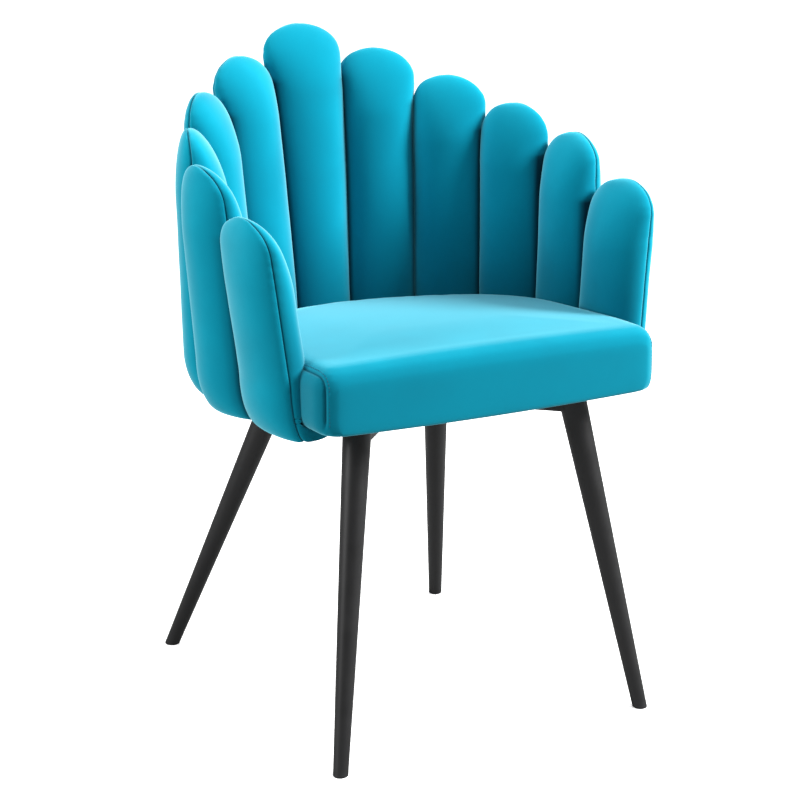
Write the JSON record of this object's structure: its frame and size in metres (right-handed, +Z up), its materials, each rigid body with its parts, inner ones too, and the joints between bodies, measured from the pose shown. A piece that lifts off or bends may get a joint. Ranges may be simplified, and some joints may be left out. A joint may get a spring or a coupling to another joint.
{
  "type": "dining chair",
  "caption": "Velvet dining chair with a channelled finger back that wraps round a cushioned seat, on splayed tapered steel legs.",
  "frame": {"origin": "on the floor, under the middle of the chair's box", "axes": "+Z up, +Y to the back of the chair, +X to the right as one faces the chair from the front"},
  "size_m": [0.5882, 0.5487, 0.8556],
  "materials": {
    "velvet": "short-pile turquoise velvet with a soft sheen",
    "foam": "open-cell upholstery foam",
    "plywood": "raw birch plywood",
    "black_steel": "satin black powder coat",
    "glide_plastic": "matte black moulded plastic",
    "dust_cloth": "black non-woven dust cloth",
    "zinc_steel": "zinc-plated steel"
  },
  "bodies": {
    "root": {"back_rail": "plywood", "base_board": "plywood", "bolt_washers": "zinc_steel", "cross_bar_front_half": "black_steel", "cross_bar_long": "black_steel", "cross_bar_rear_half": "black_steel", "dust_cover": "dust_cloth", "finger_cover_01": "velvet", "finger_cover_02": "velvet", "finger_cover_03": "velvet", "finger_cover_04": "velvet", "finger_cover_05": "velvet", "finger_cover_06": "velvet", "finger_cover_07": "velvet", "finger_cover_08": "velvet", "finger_cover_09": "velvet", "finger_cover_10": "velvet", "finger_cover_11": "velvet", "finger_foam_01": "foam", "finger_foam_02": "foam", "finger_foam_03": "foam", "finger_foam_04": "foam", "finger_foam_05": "foam", "finger_foam_06": "foam", "finger_foam_07": "foam", "finger_foam_08": "foam", "finger_foam_09": "foam", "finger_foam_10": "foam", "finger_foam_11": "foam", "finger_stave_01": "plywood", "finger_stave_02": "plywood", "finger_stave_03": "plywood", "finger_stave_04": "plywood", "finger_stave_05": "plywood", "finger_stave_06": "plywood", "finger_stave_07": "plywood", "finger_stave_08": "plywood", "finger_stave_09": "plywood", "finger_stave_10": "plywood", "finger_stave_11": "plywood", "foot_glide_front_left": "glide_plastic", "foot_glide_front_right": "glide_plastic", "foot_glide_rear_left": "glide_plastic", "foot_glide_rear_right": "glide_plastic", "frame_bolts": "zinc_steel", "leg_front_left": "black_steel", "leg_front_right": "black_steel", "leg_rear_left": "black_steel", "leg_rear_right": "black_steel", "rail_screws": "zinc_steel", "seat_board": "plywood", "seat_foam": "foam", "seat_screws": "zinc_steel", "seat_side_panel_left": "velvet", "seat_side_panel_right": "velvet", "seat_top_panel": "velvet", "stave_screws": "zinc_steel", "tee_nuts": "zinc_steel"}
  },
  "joints": []
}
